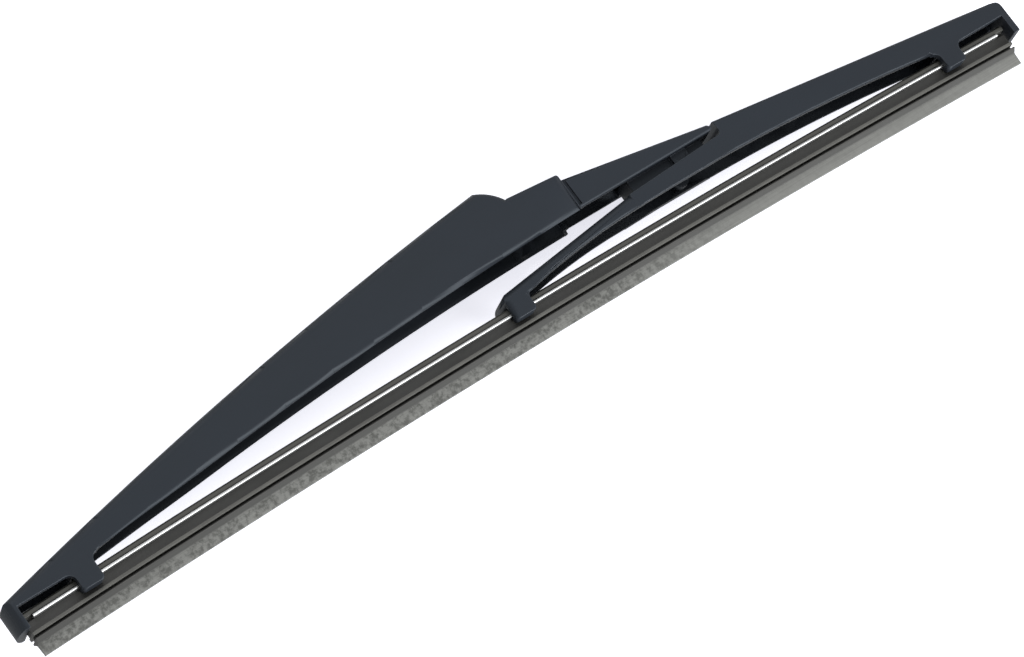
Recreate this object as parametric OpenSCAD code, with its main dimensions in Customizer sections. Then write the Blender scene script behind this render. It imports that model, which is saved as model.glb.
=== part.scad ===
// Wiper blade for a rear window: a long moulded lever, a yoke that rocks under its nose,
// and a rubber squeegee stiffened by two steel splines that the levers' claws carry.
// X runs along the blade, Y across it and Z away from the glass.
// The origin is the middle of the cross bar that the wiper arm clips on.

/* [Squeegee] */
// Length of the rubber
rubber_l = 305; // [290:1:320]
// Distance from the arm bar back to the rubber's left end
rubber_left = 167.5; // [163:0.5:173]
// Height of the arm bar above the wiping edge at the rubber's middle
bar_h = 28; // [27.5:0.1:29.5]
// Radius of the bow that the splines give the unloaded squeegee
bow_r = 4500; // [3500:100:7000]
// Thickness of the wiping edge
edge_t = 0.7; // [0.5:0.05:0.9]
// Height of the wiping lip
lip_h = 3.1; // [2.8:0.05:3.3]
// Thickness of the lip where it meets the wedge
lip_root_t = 1.2; // [1:0.05:1.5]
// Height of the wedge above the lip
wedge_h = 1.2; // [0.9:0.05:1.4]
// Width of the wedge's shoulders
wedge_w = 4.8; // [4:0.1:5.4]
// Height of the wedge's upright shoulder
wedge_lip = 0.3; // [0.2:0.05:0.5]
// Height of the hinge neck between wedge and rib
neck_h = 0.7; // [0.5:0.05:0.8]
// Thickness of the hinge neck
neck_t = 1; // [0.8:0.05:1.3]
// Height of the rib above the neck
rib_h = 0.85; // [0.6:0.05:1]
// Width of the rib
rib_w = 5; // [4.4:0.1:5.6]
// Height of the grooves that the claws reach into
groove_h = 2.7; // [2.6:0.05:3]
// Thickness of the web between those grooves
web_t = 3.2; // [2.8:0.05:3.4]
// Height of the head above the splines
head_h = 1.45; // [1.2:0.05:1.6]
// Width of the head
head_w = 5.5; // [5:0.1:5.8]
// Bevel along the head's top edges
head_round = 0.5; // [0.3:0.1:0.7]

/* [Splines] */
// Length of each spline
spline_l = 300; // [285:1:303]
// Thickness of each spline
spline_t = 0.8; // [0.7:0.05:0.9]
// Width of each spline
spline_w = 2.1; // [1.8:0.05:2.3]
// Distance between the two splines' inner edges
spline_gap = 2; // [1.8:0.05:2.2]
// Play round a spline in its slot
spline_play = 0.05; // [0.03:0.01:0.08]

/* [Claws] */
// Play between a claw and the splines, and under its saddle
claw_play = 0.3; // [0.2:0.05:0.4]
// Thickness of a claw's hooked lip
hook_t = 1.5; // [1.2:0.05:1.6]
// How far a hook reaches in under its spline
hook_in = 1.3; // [1:0.05:1.4]
// Width of a claw along the blade
claw_l = 6; // [5:0.1:7]
// Distance from the rubber's left end to the left claw's middle
left_claw_in = 18; // [16:0.5:22]
// Distance from the arm bar back to the centre claw's middle
centre_claw_back = 20; // [18:0.5:23]
// Distance from the rubber's right end to the right claw's middle
right_claw_in = 18; // [16:0.5:22]

/* [Main lever] */
// Thickness of the main lever's side walls
wall_t = 1.6; // [1.3:0.05:1.9]
// Thickness of the main lever's roof
roof_t = 1.8; // [1.4:0.05:2.2]
// Half width of the lever at its left end
end_half_w = 4.9; // [4.7:0.1:5.5]
// Half width of the lever where the arm seat ends
seat_half_w = 8.7; // [8.4:0.1:9.2]
// Height of the lever's top above the wiping edge at its left end
left_top_h = 15.1; // [14.6:0.1:16]
// Height of the side walls' lower edge above the wiping edge, left of the claw
skirt_h = 12.4; // [12:0.1:12.8]
// Radius of the lever's arched top
top_r = 1250; // [1100:10:1500]
// Radius of the arch under the lever
arch_r = 1270; // [1150:10:1600]
// Height of the arch's left foot above the wiping edge
arch_foot_h = 13.6; // [13.4:0.1:14.2]
// Height of the hump's crest above the arm bar
crest_h = 11.1; // [10:0.1:12]
// Distance from the arm bar back to the crest
crest_back = 14; // [13.4:0.1:15]
// Radius of the hump's face towards the arm
hump_r = 12; // [10:0.5:16]
// Radius of the rounded end wall, seen from above
end_r = 6.5; // [6:0.1:8]
// Thickness of the end wall at its corners
end_corner_t = 0.8; // [0.6:0.1:1.2]
// Thickness of the webs that saddle the squeegee's head in the claws
web_h = 1.6; // [1.2:0.1:2]
// Radius along the bridge's top edges
edge_r = 2; // [1.2:0.1:2.4]
// Radius along the other top edges
rim_r = 1; // [0.6:0.1:1.2]
// Radius along the lower outer edges
under_r = 0.7; // [0.4:0.05:0.9]
// Thickness of the cross ribs under the roofs
rib_t = 1.2; // [1:0.1:1.6]
// Distance of the ribs' lower edge from the walls' lower edge
rib_up = 2.5; // [1.5:0.1:4]
// Distance between the main lever's cross ribs
rib_pitch = 19; // [16:1:24]

/* [Arm seat] */
// Diameter of the arm bar
bar_d = 4.8; // [4.4:0.1:5.2]
// Room in the seat between its front wall and the bar's middle
seat_front = 6.8; // [6.4:0.1:7.2]
// Room in the seat between the bar's middle and its rear wall
seat_rear = 6.5; // [6.3:0.1:7]
// Thickness of the seat's side walls
seat_wall_t = 2.2; // [1.8:0.1:2.6]
// Thickness of the seat's front and rear walls
seat_end_t = 1.5; // [1.2:0.1:1.8]
// Height of the seat's rim above the bar's middle
seat_rim_h = 5; // [4.7:0.1:5.3]
// Slope of the seat's rim, degrees
seat_slope = 5; // [3:0.5:7]
// Depth of the seat's walls and of the nose below the bar's middle
seat_depth = 5.4; // [5.2:0.1:5.6]
// Radius of the seat's upright corners towards the nose
seat_corner_r = 2.5; // [1.5:0.1:3]

/* [Nose] */
// Length of the nose beyond the seat
nose_l = 42.5; // [41:0.5:42.5]
// Half width of the nose
nose_half_w = 6.4; // [6.2:0.1:6.6]
// Height of the nose's top above the bar's middle where it starts
nose_top_h = 3.25; // [2.85:0.05:3.5]
// Thickness of the nose at its tip
nose_tip_t = 1.8; // [1.6:0.1:2.2]
// Thickness of the nose's walls and roof
nose_t = 1.5; // [1.2:0.05:1.7]

/* [Pivot] */
// Distance from the arm bar forward to the yoke's pivot
pivot_x = 39.5; // [38.5:0.1:40.5]
// Depth of the pivot below the bar's middle
pivot_z = 9.75; // [9.6:0.05:9.9]
// Diameter of the trunnions on the nose's ears
trunnion_d = 3; // [2.6:0.1:3.2]
// Radial clearance of a trunnion in its socket
trunnion_play = 0.05; // [0.03:0.01:0.08]
// Radius of an ear's rounded end
ear_r = 2.4; // [2.2:0.05:2.5]
// Thickness of an ear
ear_t = 2.2; // [1.8:0.05:2.6]
// Clearance between an ear and the yoke's wall
ear_play = 0.25; // [0.2:0.05:0.3]
// Depth of the blind sockets in the yoke's walls
socket_deep = 1.1; // [0.9:0.05:1.2]

/* [Yoke] */
// Thickness of the yoke's side walls
yoke_wall_t = 1.7; // [1.5:0.05:1.9]
// Thickness of the yoke's roof
yoke_roof_t = 1.5; // [1.2:0.05:1.8]
// Half width of the yoke at its ends
yoke_end_half_w = 5; // [4.9:0.05:5.2]
// Half width of the yoke where it carries the nose
yoke_mid_half_w = 6.7; // [6.65:0.05:7.1]
// Gap between the nose and the yoke below it
rock_gap = 2.1; // [1.9:0.05:2.2]
// Gap between the nose's tip and the yoke's shoulder
tip_gap = 1.2; // [1:0.05:1.5]
// Depth of the yoke's walls below the pivot, where they dip round the sockets
yoke_keel = 3; // [2.8:0.05:3.3]
// Reach of that dip on either side of the pivot
keel_reach = 8; // [6:0.5:9]
// Length of the seat of the nose left of the pivot
yoke_seat_l = 18.5; // [17:0.1:19]
// Height of the yoke's left arm above the wiping edge at its end
arm_end_h = 14; // [13.5:0.1:14.5]
// Depth of the yoke's left arm beside the centre claw
arm_depth = 2.2; // [1.9:0.1:2.4]
// Height of the step between the left arm and the nose's seat
arm_step = 1.2; // [0.8:0.1:1.5]
// Height of the yoke's top above the wiping edge at its right end
right_top_h = 16.6; // [16:0.1:17]
// Radius of the arch under the yoke
yoke_arch_r = 500; // [450:10:600]
// Distance between the cross ribs in the yoke's right arm
yoke_rib_pitch = 15; // [12:0.5:20]

/* [End walls] */
// Play between the rubber and the left end wall
end_play = 0.4; // [0.3:0.05:0.6]
// Play between the rubber and the right end wall, for the strip's shift as the yoke rocks
slide_play = 1.2; // [1:0.1:2]
// Thickness of the right end wall
end_t = 1.8; // [1.5:0.1:2.4]
// Height of the end walls' lower edge above the wiping edge
end_h = 6.7; // [6.3:0.05:7]

/* [Hidden] */
plastic = [0.17, 0.18, 0.21];
rubber = [0.22, 0.22, 0.2];
steel = [0.8, 0.8, 0.8];
// Fragments for the long bows, for the arches and for small rounds
bow_fn = 1800;
arch_fn = 900;
small_fn = 48;
// Reach of the shapes that only clip or cut, and how far a cut runs past a face
far = 60;
over = 1;
// Overlap with which parts of one moulding are joined
weld = 0.4;
// How far a rounding cut bites past tangency, so that it crosses the faces cleanly
bite = 0.04;
// Rounds at a claw's foot and root, and in the corner of the yoke's seat
foot_r = 0.9;
root_r = 2;
seat_round = 1.2;

rubber_right = rubber_l - rubber_left;
rubber_mid = rubber_l / 2 - rubber_left;
wedge_top = lip_h + wedge_h;
neck_top = wedge_top + neck_h;
rib_top = neck_top + rib_h;
slot_z = rib_top + groove_h;
head_z = slot_z + spline_t + 2 * spline_play;
head_top = head_z + head_h;
claw_gap = spline_gap / 2 + spline_w + claw_play;
hook_top = slot_z + spline_play - claw_play;
claw_h = hook_top - hook_t;
saddle_h = head_top + claw_play;

// Height of the wiping edge at x, where the bowed squeegee hangs free
function edge_z(x) = sqrt(bow_r * bow_r - pow(x - rubber_mid, 2)) - bow_r - bar_h;
// Centre of the circle of radius r that arches over the chord from p to q
function arc_centre(p, q, r) =
    let (d = q - p, chord = norm(d), drop = sqrt(r * r - chord * chord / 4))
    (p + q) / 2 + drop * [d[1], -d[0]] / chord;
// Points along an arc of radius r round c, from angle a0 to angle a1
function arc_points(c, r, a0, a1, n = 8) =
    [for (i = [0:n]) c + r * [cos(a0 + (a1 - a0) * i / n), sin(a0 + (a1 - a0) * i / n)]];
// Height at x on the line from p to q
function line_z(p, q, x) = p[1] + (q[1] - p[1]) * (x - p[0]) / (q[0] - p[0]);

left_claw_x = left_claw_in - rubber_left;
centre_claw_x = -centre_claw_back;
right_claw_x = rubber_right - right_claw_in;

end_in_x = -rubber_left - end_play;
corner_x = end_in_x - end_corner_t;
bulge_x = corner_x + sqrt(end_r * end_r - end_half_w * end_half_w);
left_x = bulge_x - end_r;
seat_x0 = -seat_front - seat_end_t;
seam_x = seat_rear + seat_end_t;
skirt_z = edge_z(-rubber_left) + skirt_h;
top_left = [corner_x, edge_z(corner_x) + left_top_h];
crest = [-crest_back, crest_h];
foot_x = -seat_front - seat_end_t / 2;
foot = [foot_x, seat_rim_h - foot_x * tan(seat_slope)];
rim_end = [seam_x, seat_rim_h - seam_x * tan(seat_slope)];
top_c = arc_centre(top_left, crest, top_r);
hump_c = arc_centre(crest, foot, hump_r);
arch_left = [left_claw_x + claw_l, edge_z(left_claw_x + claw_l) + arch_foot_h];
arch_right = [seam_x, -seat_depth];
arch_c = arc_centre(arch_left, arch_right, arch_r);
taper = atan((seat_half_w - end_half_w) / (seam_x - corner_x));

nose_end_x = seam_x + nose_l;
nose_bottom = -seat_depth;
nose_start = [seam_x, nose_top_h];
nose_end = [nose_end_x, nose_bottom + nose_tip_t];
nose_drop = (nose_start[1] - nose_end[1]) / nose_l;

pivot = [pivot_x, -pivot_z];
yoke_in_w = yoke_mid_half_w - yoke_wall_t;
ear_out_w = yoke_in_w - ear_play;
socket_w = yoke_in_w + socket_deep;
trunnion_w = socket_w - ear_play / 2;
window_l = ear_r + 4;

yoke_left = centre_claw_x - claw_l / 2;
slide_x = rubber_right + slide_play;
yoke_right = slide_x + end_t;
yoke_seat_z = nose_bottom - rock_gap;
seat_left = pivot_x - yoke_seat_l;
seat_right = nose_end_x + tip_gap;
arm_p = [yoke_left, edge_z(yoke_left) + arm_end_h];
arm_q = [seat_left, yoke_seat_z - arm_step];
right_p = [seat_right, nose_end[1]];
right_q = [yoke_right, edge_z(rubber_right) + right_top_h];
arm_rise = atan((arm_q[1] - arm_p[1]) / (arm_q[0] - arm_p[0]));
yoke_flare = atan((yoke_mid_half_w - yoke_end_half_w) / (seat_left - yoke_left));
yoke_taper = atan((yoke_mid_half_w - yoke_end_half_w) / (yoke_right - seat_right));
yoke_skirt_z = edge_z(rubber_right) + skirt_h;
yoke_arch_p = [centre_claw_x + claw_l / 2, line_z(arm_p, arm_q, centre_claw_x + claw_l / 2) - arm_depth];
yoke_arch_q = [right_claw_x - claw_l / 2, yoke_skirt_z + seat_round];
yoke_arch_c = arc_centre(yoke_arch_p, yoke_arch_q, yoke_arch_r);

// Draws a side view, given as [x, z], through the width of the blade
module across() {
    rotate([90, 0, 0])
        linear_extrude(height = far, center = true)
            children();
}

// Draws a plan, given as [x, y], through the whole height
module upright() {
    translate([0, 0, -far])
        linear_extrude(height = 2 * far)
            children();
}

// Sweeps a section, given as [height above the wiping edge, -y], along the bow from x0 to x1
module along_bow(x0, x1) {
    a0 = asin((x0 - rubber_mid) / bow_r);
    a1 = asin((x1 - rubber_mid) / bow_r);
    translate([rubber_mid, 0, -bar_h - bow_r])
        rotate([90, 0, 0])
            rotate([0, 0, 90 - a1])
                rotate_extrude(angle = a1 - a0, $fn = bow_fn)
                    translate([bow_r, 0])
                        children();
}

module both_sides() {
    children();
    mirror([0, 1, 0])
        children();
}

// Waste outside a rounded edge at the origin, given as [depth, distance inwards]
module edge_waste(r) {
    difference() {
        translate([-over, -over])
            square(r + over);
        translate([r - bite, r - bite])
            circle(r, $fn = small_fn);
    }
}

// Rounds a straight edge from p to q, each [x, z], where the near wall starts at half width w and
// closes in by turn degrees: a top edge, or a lower one if under is true
module straight_edge_cut(p, q, w, turn, r, under = false) {
    slope = atan((p[1] - q[1]) / (q[0] - p[0]));
    translate([p[0], -w, p[1]])
        rotate([0, 0, turn])
            rotate([0, slope, 0])
                translate([-over, 0, 0])
                    rotate([0, 90, 0])
                        linear_extrude(height = norm(q - p) / cos(turn) + 2 * over)
                            rotate(under ? 90 : 0)
                                edge_waste(r);
}

// Rounds an arched edge along the circle of radius arc_r round c, from x0 to x1, where the near
// wall runs through wall, as [x, half width], and closes in by turn degrees
module arc_edge_cut(c, arc_r, x0, x1, wall, turn, r, under = false) {
    a0 = acos((x0 - c[0]) / arc_r);
    a1 = acos((x1 - c[0]) / arc_r);
    translate([wall[0], -wall[1], 0])
        rotate([0, 0, turn])
            translate([(c[0] - wall[0]) / cos(turn), 0, c[1]])
                rotate([90, 0, 0])
                    rotate([0, 0, a1])
                        rotate_extrude(angle = a0 - a1, $fn = 360 / (a0 - a1) * 12)
                            translate([arc_r, 0])
                                rotate(under ? -90 : 180)
                                    edge_waste(r);
}

// Waste outside a rounded upper corner at p in a side view, on the side that dir points to
module corner_waste(p, r, dir) {
    translate(p)
        mirror([dir > 0 ? 0 : 1, 0])
            polygon(concat([[over, -r], [over, over], [-r, over]], arc_points([-r, -r], r, 90, 0)));
}

// Tooth of a claw in side view, from its rounded foot up to top_z
module claw_side(x, top_z) {
    z0 = edge_z(x) + claw_h;
    left = x - claw_l / 2;
    right = x + claw_l / 2;
    polygon(concat([[right, top_z], [left, top_z]],
                   arc_points([left + foot_r, z0 + foot_r], foot_r, 180, 270),
                   arc_points([right - foot_r, z0 + foot_r], foot_r, 270, 360)));
}

// Round between a wall's lower edge at z and a claw's side at x, on the side that dir points to
module root_round(x, z, dir) {
    curve = arc_points([root_r, -root_r], root_r, 180, 90);
    outline = concat(curve, [[root_r, weld], [-weld, weld], [-weld, -root_r]]);
    count = len(outline);
    translate([x, z])
        polygon([for (i = [0:count - 1]) let (p = outline[dir > 0 ? i : count - 1 - i]) [dir * p[0], p[1]]]);
}

// Part of a cavity's side view that stays solid at a claw: the tooth and the web over its saddle
module claw_web(x) {
    translate([x - claw_l / 2, -far])
        square([claw_l, far + edge_z(x) + saddle_h + web_h]);
}

// Room for the splines and the head in a claw, over the gap between its hooks
module strip_room(x) {
    along_bow(x - claw_l, x + claw_l)
        polygon([[0, hook_in - claw_gap], [hook_top, hook_in - claw_gap], [hook_top, -claw_gap],
                 [saddle_h, -claw_gap], [saddle_h, claw_gap], [hook_top, claw_gap],
                 [hook_top, claw_gap - hook_in], [0, claw_gap - hook_in]]);
}

// Side view of the bridge from its left end to the seam behind the arm seat
module bridge_side() {
    difference() {
        union() {
            intersection() {
                translate(top_c)
                    circle(top_r, $fn = arch_fn);
                polygon([[left_x, skirt_z], [left_claw_x, skirt_z], [left_claw_x, -far], [crest[0], -far],
                         [crest[0], far], [left_x, far]]);
            }
            intersection() {
                translate(hump_c)
                    circle(hump_r, $fn = 4 * small_fn);
                translate([crest[0], -seat_depth])
                    square([foot_x - crest[0], far]);
            }
            polygon([[crest[0] - weld, -far], [seam_x, -far], rim_end, foot, [crest[0] - weld, foot[1]]]);
        }
        intersection() {
            translate(arch_c)
                circle(arch_r, $fn = arch_fn);
            translate([left_claw_x, -2 * far])
                square([seam_x - left_claw_x + over, 3 * far]);
        }
        corner_waste([left_x, line_z(top_left, top_left + [1, tan(taper)], left_x)], edge_r, -1);
        corner_waste(rim_end, rim_r + weld, 1);
    }
    claw_side(left_claw_x, skirt_z + root_r);
    root_round(left_claw_x - claw_l / 2, skirt_z, -1);
    root_round(left_claw_x + claw_l / 2, arch_left[1] - weld, 1);
    translate([left_x, edge_z(-rubber_left) + end_h])
        square([end_in_x - left_x, skirt_h - end_h + weld]);
}

// Side view of the hollow under the bridge's roof, less its ribs and the claw's web
module bridge_hollow() {
    difference() {
        intersection() {
            translate(top_c)
                circle(top_r - roof_t, $fn = arch_fn);
            union() {
                translate([end_in_x, -far])
                    square([crest[0] - end_in_x, 2 * far]);
                translate([crest[0] - weld, -far])
                    square([seat_x0 - crest[0] + weld, far + hump_c[1]]);
                intersection() {
                    translate(hump_c)
                        circle(hump_r - roof_t, $fn = 4 * small_fn);
                    translate([crest[0] - weld, hump_c[1] - weld])
                        square([seat_x0 - crest[0] + weld, hump_r]);
                }
            }
        }
        claw_web(left_claw_x);
        difference() {
            for (x = [left_claw_x + rib_pitch:rib_pitch:crest[0]])
                translate([x - rib_t / 2, -far])
                    square([rib_t, 2 * far]);
            translate(arch_c)
                circle(arch_r + rib_up, $fn = arch_fn);
        }
    }
}

// Half width of the bridge at x, on its straight taper
function bridge_w(x) = end_half_w + (x - corner_x) * tan(taper);

module bridge_plan() {
    corner = [seam_x - seat_corner_r, bridge_w(seam_x - seat_corner_r) - seat_corner_r / cos(taper)];
    polygon(concat([[corner_x, -end_half_w]],
                   arc_points([corner[0], -corner[1]], seat_corner_r, -90 - taper, 0),
                   arc_points(corner, seat_corner_r, 0, 90 + taper),
                   [[corner_x, end_half_w]]));
    intersection() {
        translate([bulge_x, 0])
            circle(end_r, $fn = 2 * small_fn);
        translate([left_x - over, -end_half_w])
            square([corner_x - left_x + over + weld, 2 * end_half_w]);
    }
}

module bridge_hollow_plan() {
    w0 = bridge_w(end_in_x) - wall_t;
    w1 = bridge_w(seat_x0) - wall_t;
    polygon([[end_in_x, -w0], [seat_x0, -w1], [seat_x0, w1], [end_in_x, w0]]);
}

// Side view of the nose, a wedge that thins towards its rounded tip
module nose_side() {
    tip_r = nose_tip_t / 2;
    polygon(concat([[seam_x - weld, nose_bottom], [nose_end_x - tip_r, nose_bottom]],
                   arc_points([nose_end_x - tip_r, nose_bottom + tip_r], tip_r, 270, 360),
                   arc_points([nose_end_x - tip_r, nose_end[1] - tip_r / 2], tip_r / 2, 0, 80),
                   [nose_start, [seam_x - weld, nose_top_h]]));
}

module nose_hollow() {
    x1 = pivot_x - ear_r - nose_t;
    polygon([[seam_x, nose_bottom - over], [x1, nose_bottom - over],
             [x1, nose_start[1] - nose_t - (x1 - seam_x) * nose_drop], [seam_x, nose_start[1] - nose_t]]);
}

// Ears that hang from the nose between the yoke's walls, with the trunnions it rocks on
module ears() {
    both_sides()
        intersection() {
            across()
                polygon(concat([[pivot_x + ear_r, nose_bottom + weld], [pivot_x - ear_r, nose_bottom + weld]],
                               arc_points(pivot, ear_r, 180, 360, 16)));
            upright()
                translate([0, ear_out_w - ear_t])
                    square([far, ear_t]);
        }
    both_sides()
        translate([pivot_x, ear_out_w - weld, pivot[1]])
            rotate([-90, 0, 0])
                cylinder(d = trunnion_d, h = trunnion_w - ear_out_w + weld, $fn = small_fn);
}

module main_lever() {
    seat_in_w = seat_half_w - seat_wall_t;
    wall = [corner_x, end_half_w];
    color(plastic) {
        difference() {
            intersection() {
                across()
                    bridge_side();
                upright()
                    bridge_plan();
            }
            intersection() {
                across()
                    bridge_hollow();
                upright()
                    bridge_hollow_plan();
            }
            strip_room(left_claw_x);
            translate([-seat_front, -seat_in_w, -far])
                cube([seat_front + seat_rear, 2 * seat_in_w, 2 * far]);
            both_sides() {
                arc_edge_cut(top_c, top_r, left_x - over, crest[0] + over, wall, -taper, edge_r);
                arc_edge_cut(hump_c, hump_r, crest[0] - over, foot_x, wall, -taper, edge_r);
                arc_edge_cut(arch_c, arch_r, arch_left[0], seam_x + over, wall, -taper, under_r, true);
                straight_edge_cut(foot, rim_end, bridge_w(foot_x), -taper, rim_r);
            }
        }
        rotate([90, 0, 0])
            cylinder(d = bar_d, h = 2 * (seat_in_w + weld), center = true, $fn = 2 * small_fn);
        difference() {
            intersection() {
                across()
                    nose_side();
                upright()
                    translate([seam_x - weld, -nose_half_w])
                        square([nose_l + weld, 2 * nose_half_w]);
            }
            intersection() {
                across()
                    nose_hollow();
                upright()
                    translate([seam_x - over, nose_t - nose_half_w])
                        square([nose_l, 2 * (nose_half_w - nose_t)]);
            }
            both_sides() {
                straight_edge_cut(nose_start, nose_end, nose_half_w, 0, rim_r);
                straight_edge_cut([seam_x, nose_bottom], [nose_end_x, nose_bottom], nose_half_w, 0, under_r,
                                  true);
            }
        }
        ears();
    }
}

// Side view of the yoke: the low left arm, the seat under the nose and the long right arm
module yoke_side() {
    claw_z = edge_z(yoke_left) + saddle_h;
    corner = [arm_p[0] + edge_r, line_z(arm_p, arm_q, arm_p[0] + edge_r) - edge_r / cos(arm_rise)];
    difference() {
        polygon(concat([[yoke_left, claw_z], [centre_claw_x, claw_z], [centre_claw_x, -far],
                        [yoke_arch_q[0], -far], [yoke_arch_q[0], yoke_skirt_z], [yoke_right, yoke_skirt_z],
                        right_q, right_p],
                       arc_points([seat_right - seat_round, yoke_seat_z + seat_round], seat_round, 0, -90),
                       [[seat_left, yoke_seat_z], arm_q],
                       arc_points(corner, edge_r, 90 + arm_rise, 180)));
        intersection() {
            translate(yoke_arch_c)
                circle(yoke_arch_r, $fn = arch_fn);
            translate([centre_claw_x - over, -2 * far])
                square([yoke_arch_q[0] - centre_claw_x + over, 2 * far]);
        }
        corner_waste(right_q, root_r, 1);
    }
    claw_side(centre_claw_x, claw_z + weld);
    claw_side(right_claw_x, yoke_skirt_z + weld);
    root_round(centre_claw_x + claw_l / 2, yoke_arch_p[1] + weld, 1);
    root_round(right_claw_x - claw_l / 2, yoke_arch_q[1], -1);
    root_round(right_claw_x + claw_l / 2, yoke_skirt_z, 1);
    translate([slide_x, edge_z(rubber_right) + end_h])
        square([end_t, skirt_h - end_h + weld]);
    polygon([[pivot_x - keel_reach, yoke_seat_z - over],
             [pivot_x - keel_reach + over, pivot[1] - yoke_keel],
             [pivot_x + keel_reach - over, pivot[1] - yoke_keel],
             [pivot_x + keel_reach, yoke_seat_z - over]]);
}

// Side view of the hollow under the yoke's roof, less its ribs and the claws' webs
module yoke_hollow() {
    x0 = centre_claw_x;
    difference() {
        polygon([[x0, -far], [x0, line_z(arm_p, arm_q, x0) - yoke_roof_t], arm_q - [0, yoke_roof_t],
                 [seat_left + yoke_roof_t, yoke_seat_z - yoke_roof_t],
                 [seat_right, yoke_seat_z - yoke_roof_t],
                 [seat_right + yoke_roof_t, line_z(right_p, right_q, seat_right + yoke_roof_t) - yoke_roof_t],
                 [slide_x, line_z(right_p, right_q, slide_x) - yoke_roof_t], [slide_x, -far]]);
        claw_web(centre_claw_x);
        claw_web(right_claw_x);
        difference() {
            for (x = [seat_right + yoke_rib_pitch:yoke_rib_pitch:right_claw_x - claw_l])
                translate([x - rib_t / 2, -far])
                    square([rib_t, 2 * far]);
            translate(yoke_arch_c)
                circle(yoke_arch_r + rib_up, $fn = arch_fn);
        }
    }
    translate([pivot_x - window_l, yoke_seat_z - yoke_roof_t - over])
        square([2 * window_l, yoke_roof_t + 2 * over]);
}

// Plan of the yoke with its walls thinned by t
module yoke_plan(t) {
    x0 = t > 0 ? centre_claw_x : yoke_left;
    x1 = t > 0 ? slide_x : yoke_right;
    w1 = yoke_mid_half_w - t;
    w0 = w1 - (seat_left - x0) * tan(yoke_flare);
    w2 = w1 - (x1 - seat_right) * tan(yoke_taper);
    polygon([[x0, -w0], [seat_left, -w1], [seat_right, -w1], [x1, -w2],
             [x1, w2], [seat_right, w1], [seat_left, w1], [x0, w0]]);
}

// Rounds the near edges of the yoke along the top of both arms, under them and under the sockets
module yoke_rounds() {
    left_end = arm_q[0] - over - weld;
    keel_l = [pivot_x - keel_reach, pivot[1] - yoke_keel];
    keel_r = [pivot_x + keel_reach, pivot[1] - yoke_keel];
    left_wall = [seat_left, yoke_mid_half_w];
    right_wall = [seat_right, yoke_mid_half_w];
    straight_edge_cut(arm_p, [left_end, line_z(arm_p, arm_q, left_end)], yoke_end_half_w, -yoke_flare,
                      edge_r);
    straight_edge_cut(right_p, right_q, yoke_mid_half_w, yoke_taper, rim_r);
    arc_edge_cut(yoke_arch_c, yoke_arch_r, yoke_arch_p[0] + root_r, seat_left - weld, left_wall, -yoke_flare,
                 under_r, true);
    straight_edge_cut(keel_l + [2 * over, 0], keel_r - [2 * over, 0], yoke_mid_half_w, 0, under_r, true);
    arc_edge_cut(yoke_arch_c, yoke_arch_r, keel_r[0] + over, yoke_arch_q[0] - root_r, right_wall,
                 yoke_taper, under_r, true);
}

module yoke() {
    color(plastic)
        difference() {
            intersection() {
                across()
                    yoke_side();
                upright()
                    yoke_plan(0);
            }
            intersection() {
                across()
                    yoke_hollow();
                upright()
                    yoke_plan(yoke_wall_t);
            }
            strip_room(centre_claw_x);
            strip_room(right_claw_x);
            translate([pivot_x, 0, pivot[1]])
                rotate([90, 0, 0])
                    cylinder(r = trunnion_d / 2 + trunnion_play, h = 2 * socket_w, center = true,
                             $fn = small_fn);
            both_sides()
                yoke_rounds();
        }
}

// Half of the rubber's section, as [height, half width], from the wiping edge up to the head
half_section = [[0, edge_t / 2], [lip_h, lip_root_t / 2], [wedge_top - wedge_lip, wedge_w / 2],
                [wedge_top, wedge_w / 2], [wedge_top, neck_t / 2], [neck_top, neck_t / 2],
                [neck_top, rib_w / 2], [rib_top, rib_w / 2], [rib_top, web_t / 2], [slot_z, web_t / 2],
                [slot_z, spline_gap / 2 - spline_play], [head_z, spline_gap / 2 - spline_play],
                [head_z, head_w / 2], [head_top - head_round, head_w / 2],
                [head_top, head_w / 2 - head_round]];

module squeegee() {
    count = len(half_section);
    color(rubber)
        along_bow(-rubber_left, rubber_right)
            polygon(concat(half_section,
                           [for (i = [count - 1:-1:0]) [half_section[i][0], -half_section[i][1]]]));
}

// One spline in its slot, on the side of the blade that side points to
module spline(side) {
    x0 = rubber_mid - spline_l / 2;
    color(steel)
        along_bow(x0, x0 + spline_l)
            translate([slot_z + spline_play, side > 0 ? -spline_gap / 2 - spline_w : spline_gap / 2])
                square([spline_t, spline_w]);
}

module front_spline() {
    spline(-1);
}

module rear_spline() {
    spline(1);
}

main_lever();
yoke();
squeegee();
front_spline();
rear_spline();
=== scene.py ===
import math

import bmesh
import bpy
from mathutils import Matrix, Vector


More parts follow.
